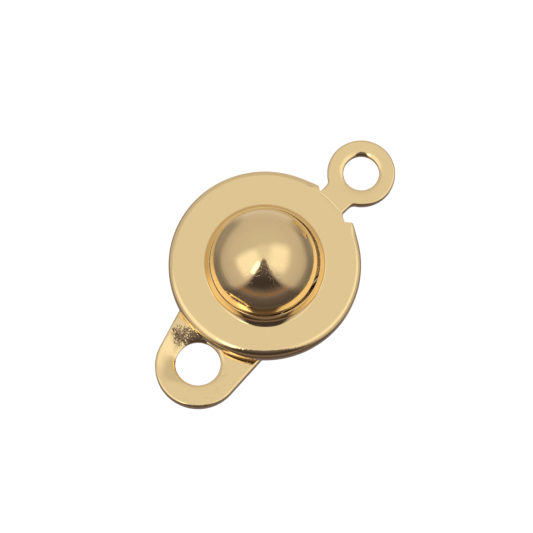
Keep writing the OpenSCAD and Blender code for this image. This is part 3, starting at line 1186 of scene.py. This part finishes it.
def spring_path():
    """Plan points of the spring: half of it from its open end, then the same mirrored."""
    bend = math.degrees(math.asin(leg_off / bow_r))
    cut = math.degrees(bend_r * math.tan(math.radians(90 - bend) / 2) / bow_r)
    back, front = Vector(on_circle(bow_r, 180 + bend)), Vector(on_circle(bow_r, -bend))
    half = (arc((0, 0), bow_r, 180 + open_angle / 2, 180 + bend - cut, 8)
            + rounded_corner(back - Vector(on_circle(1, bend - 90)), back, (0, -leg_off), bend_r)
            + rounded_corner((0, -leg_off), front, front + Vector(on_circle(1, 90 - bend)), bend_r)
            + arc((0, 0), bow_r, cut - bend, 0, 24))
    plan = [(p[0], p[1]) for p in half]
    kept = [p for p, q in zip(plan, plan[1:]) if math.dist(p, q) > least_gap]
    return kept + [plan[-1]] + [(x, -y) for x, y in reversed(kept)]


grip_spring = grown("grip_spring", bent_wire, {"Wire Radius": wire_r * MM, "Material": spring_steel},
                    spring_path(), closed=False)
turn_and_set(grip_spring, socket_turn, (0, 0, spring_z))

ball_stud.data.materials.append(stud_gold)
socket_plate.data.materials.append(socket_gold)

# %% [markdown]
# ## Studio
#
# A mirror shows its room, so the room is what gets modelled: a light tent, bright all round, with a
# broad soft box on either side, a small upright lamp between the left one and the camera, and the
# dark front opening that the camera looks through, wide at the foot and narrow at the top. Below
# the horizon lies the white table. It fades with distance, but for its far side, which stays bright
# between a dim corner on the left and one on the right. It is all far away compared with the clasp,
# so it's painted on the world, by direction: a level for every height, panels over it, and the
# opening over those. Only reflections see it. The camera sees a plain pale studio.

# %% Set out the tent
# Height above the horizon, as a sine, and level: the walls, the side away from the camera, the opening
WALLS = [(-1.0, 0.2), (-0.5, 0.22), (-0.34, 0.3), (-0.17, 0.5), (0.0, 0.57), (0.4, 0.63), (0.87, 0.65),
         (0.97, 0.79), (1.0, 0.82)]
FAR_SIDE = [(-1.0, 0.5), (-0.5, 0.7), (-0.34, 0.64), (0.0, 0.62), (0.87, 0.65), (0.97, 0.79), (1.0, 0.82)]
OPENING = [(-1.0, 0.24), (-0.64, 0.06), (-0.5, 0.11), (-0.3, 0.11), (-0.12, 0.18), (0.0, 0.34),
           (0.12, 0.14), (0.34, 0.04), (0.64, 0.055), (0.87, 0.11), (1.0, 0.22)]
# Name, azimuth, rise, half width, half height, softness, level
SOFT_BOXES = [("right", 98, 56, 0.52, 0.40, 0.25, 1.06),
              ("left", -116, 54, 0.42, 0.48, 0.2, 1.08),
              ("left corner", -50, -26, 0.35, 0.3, 0.25, 0.34),
              ("right corner", 56, -26, 0.35, 0.3, 0.25, 0.28),
              ("lamp", 213, 58, 0.08, 0.24, 0.04, 2.2)]
TABLE_TURN, TABLE_EDGE = math.radians(15), (0.5, 0.85)
# The opening's half width at the horizon and its change with height, and where its edges fade
OPENING_WIDTH, OPENING_SLOPE = 0.68, -0.33
OPENING_SIDES, OPENING_FRONT = (-0.1, 0.1), (-0.22, -0.08)
WARM_HEIGHT = (0.03, 0.15)
LEAST = 0.001
print("soft boxes and corners:", [name for name, *_ in SOFT_BOXES])

# %% Helpers for the tent
def soft_box_group():
    """Light of what lies behind, covered by a soft-edged panel that faces the clasp."""
    group, inputs, outputs = new_group("soft_box", {
        "Direction": (0.0, 0.0, 1.0), "Facing": (0.0, 0.0, 1.0), "Side": (1.0, 0.0, 0.0),
        "Rise": (0.0, 1.0, 0.0), "Half width": 0.5, "Half height": 0.5, "Softness": 0.3,
        "Level": 1.0, "Behind": 0.6}, ["Light"])
    ahead = dot(group, inputs["Direction"], inputs["Facing"])
    depth = maths(group, "MAXIMUM", ahead, LEAST)
    mask = maths(group, "GREATER_THAN", ahead, 0.0)
    for way, half in (("Side", "Half width"), ("Rise", "Half height")):
        off = maths(group, "DIVIDE", dot(group, inputs["Direction"], inputs[way]), depth)
        near = maths(group, "SUBTRACT", inputs[half], inputs["Softness"])
        far = maths(group, "ADD", inputs[half], inputs["Softness"])
        mask = times(group, mask, ramp(group, maths(group, "ABSOLUTE", off), near, far, 1.0, 0.0))
    more = times(group, mask, maths(group, "SUBTRACT", inputs["Level"], inputs["Behind"]))
    group.links.new(maths(group, "ADD", inputs["Behind"], more), outputs["Light"])
    return group


def panel_at(azimuth, rise):
    """Facing, side and rise of a panel, azimuth clockwise from straight away, both in degrees."""
    a, e = math.radians(azimuth), math.radians(rise)
    level = math.cos(a) * to_away + math.sin(a) * to_right
    facing = math.cos(e) * level + math.sin(e) * to_up
    side = math.cos(a) * to_right - math.sin(a) * to_away
    return facing, side, math.cos(e) * to_up - math.sin(e) * level


def by_height(tree, up, stops, curve="EASE"):
    """A level that changes smoothly with height, from (height, level) stops between -1 and 1."""
    node = put(tree, "ShaderNodeValToRGB", fac=maths(tree, "MULTIPLY_ADD", up, 0.5, 0.5))
    levels = node.color_ramp
    levels.interpolation = curve
    for i, (height, level) in enumerate(stops):
        stop = levels.elements[i] if i < 2 else levels.elements.new(0.5 + 0.5 * height)
        stop.position = 0.5 + 0.5 * height
        stop.color = (level, level, level, 1)
    return node.outputs["Color"]


def mixed(tree, part, start, end):
    """start where part is 0, end where it is 1."""
    return maths(tree, "MULTIPLY_ADD", part, maths(tree, "SUBTRACT", end, start), start)

# %% Build the tent's light
def tent_light(tree, direction):
    """The tent's light in a direction, and how much of it is the opening's and its warm foot's."""
    box = soft_box_group()
    up, right, away = (dot(tree, direction, way) for way in (to_up, to_right, to_away))
    level = maths(tree, "SQRT", maths(tree, "SUBTRACT", 1.0, times(tree, up, up)))
    level = maths(tree, "MAXIMUM", level, LEAST)
    table_way = math.cos(TABLE_TURN) * to_away + math.sin(TABLE_TURN) * to_right
    table = ramp(tree, maths(tree, "DIVIDE", dot(tree, direction, table_way), level), *TABLE_EDGE)
    light = mixed(tree, table, by_height(tree, up, WALLS), by_height(tree, up, FAR_SIDE))
    for _, azimuth, rise, width, height, softness, strength in SOFT_BOXES:
        facing, side, rise_way = panel_at(azimuth, rise)
        light = use_group(tree, box, direction=direction, facing=facing, side=side, rise=rise_way,
                          half_width=width, half_height=height, softness=softness, level=strength,
                          behind=light)["Light"]
    turn = maths(tree, "DIVIDE", maths(tree, "ABSOLUTE", right), level)
    edge = maths(tree, "SUBTRACT", turn, maths(tree, "MULTIPLY_ADD", up, OPENING_SLOPE, OPENING_WIDTH))
    ahead = ramp(tree, away, *OPENING_FRONT, 1.0, 0.0)
    opening = times(tree, ramp(tree, edge, *OPENING_SIDES, 1.0, 0.0), ahead)
    warm = times(tree, opening, ramp(tree, maths(tree, "ABSOLUTE", up), *WARM_HEIGHT, 1.0, 0.0))
    return mixed(tree, opening, light, by_height(tree, up, OPENING, "B_SPLINE")), opening, warm

# %% [markdown]
# Little of the room is quite white. The cloth of the tent's walls has a tinge of pink, the dark room
# beyond the opening one of purple, and at the horizon there the light comes in warm. The tints are
# mixed over white one after another, each by how much of the direction is its own.

# %% Paint the world
WHITE = (1.0, 1.0, 1.0, 1)
CLOTH, CLOTH_HEIGHT = (1.0, 0.95, 0.97, 1), (0.3, 0.8)
DARK_ROOM = (1.0, 0.86, 1.0, 1)
WARM = (1.0, 0.66, 0.5, 1)
PALE = 1.08

world = bpy.data.worlds.new("studio")
world.use_nodes = True
tree = world.node_tree
tree.nodes.clear()
direction = put(tree, "ShaderNodeTexCoord").outputs["Generated"]
tent, opening, warm = tent_light(tree, direction)
ray = put(tree, "ShaderNodeLightPath").outputs["Is Glossy Ray"]
low_down = ramp(tree, dot(tree, direction, to_up), *CLOTH_HEIGHT, 1.0, 0.0)
colour = WHITE
for part, tint in ((low_down, CLOTH), (opening, DARK_ROOM), (warm, WARM)):
    colour = mixed_colour(tree, times(tree, part, ray), colour, tint)
sky = put(tree, "ShaderNodeBackground", strength=mixed(tree, ray, PALE, tent), color=colour)
end = tree.nodes.new("ShaderNodeOutputWorld")
tree.links.new(sky.outputs[0], end.inputs["Surface"])
scene.world = world
print("tent:", len(tree.nodes), "nodes")

# %% [markdown]
# The clasp lies on a light table: a white surface lit from below, so that hardly a shadow shows.
# It lies a hair lower than the plate's underside, because two faces in one plane flicker, and its
# own back is clear, so the clasp can be looked at from below too.

# %% Lay the floor
floor_size, floor_gap = 0.6, 0.02
table_grey, table_light = 0.12, 0.96
bpy.ops.mesh.primitive_plane_add(size=floor_size, location=(0, 0, -floor_gap * MM))
floor = bpy.context.object
floor.name = "floor"
pale = bpy.data.materials.new("pale_floor")
pale.use_nodes = True
tree = pale.node_tree
shader = tree.nodes["Principled BSDF"]
for title, value in (("Base Color", (table_grey, table_grey, table_grey, 1)), ("Roughness", 1.0),
                     ("Specular IOR Level", 0.0), ("Emission Color", WHITE),
                     ("Emission Strength", table_light)):
    shader.inputs[title].default_value = value
back = put(tree, "ShaderNodeNewGeometry").outputs["Backfacing"]
clear = put(tree, "ShaderNodeBsdfTransparent").outputs[0]
one_sided = put(tree, "ShaderNodeMixShader", fac=back, in_1=shader.outputs[0], in_2=clear)
tree.links.new(one_sided.outputs[0], tree.nodes["Material Output"].inputs["Surface"])
floor.data.materials.append(pale)
floor.visible_glossy = False
print(f"floor {floor_size} m wide, {floor_gap} mm below the clasp")

# %% [markdown]
# ## Joining the model
#
# Each piece rides on the body that its plain version belongs to, and takes the place of that
# version, so it moves with the joints: the socket swivels on the ball and lifts off it.

# %% Tie the pieces to the model
for piece, body, node, slot in ((ball_stud, "stud", "stud", "stud_gold"),
                                (socket_plate, "socket", "socket_shell", "socket_gold"),
                                (back_washer, "socket", "backing_washer", "washer_gold"),
                                (grip_spring, "spring", "snap_spring", "spring_steel")):
    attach(piece, body)
    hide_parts(node)
    corners = np.array([v.co[:] for v in piece.data.vertices])
    low, high = (np.array(c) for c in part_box(node))
    print(piece.name, "off its plain version by mm:", np.round((corners.min(0) - low) / MM, 3),
          np.round((corners.max(0) - high) / MM, 3))
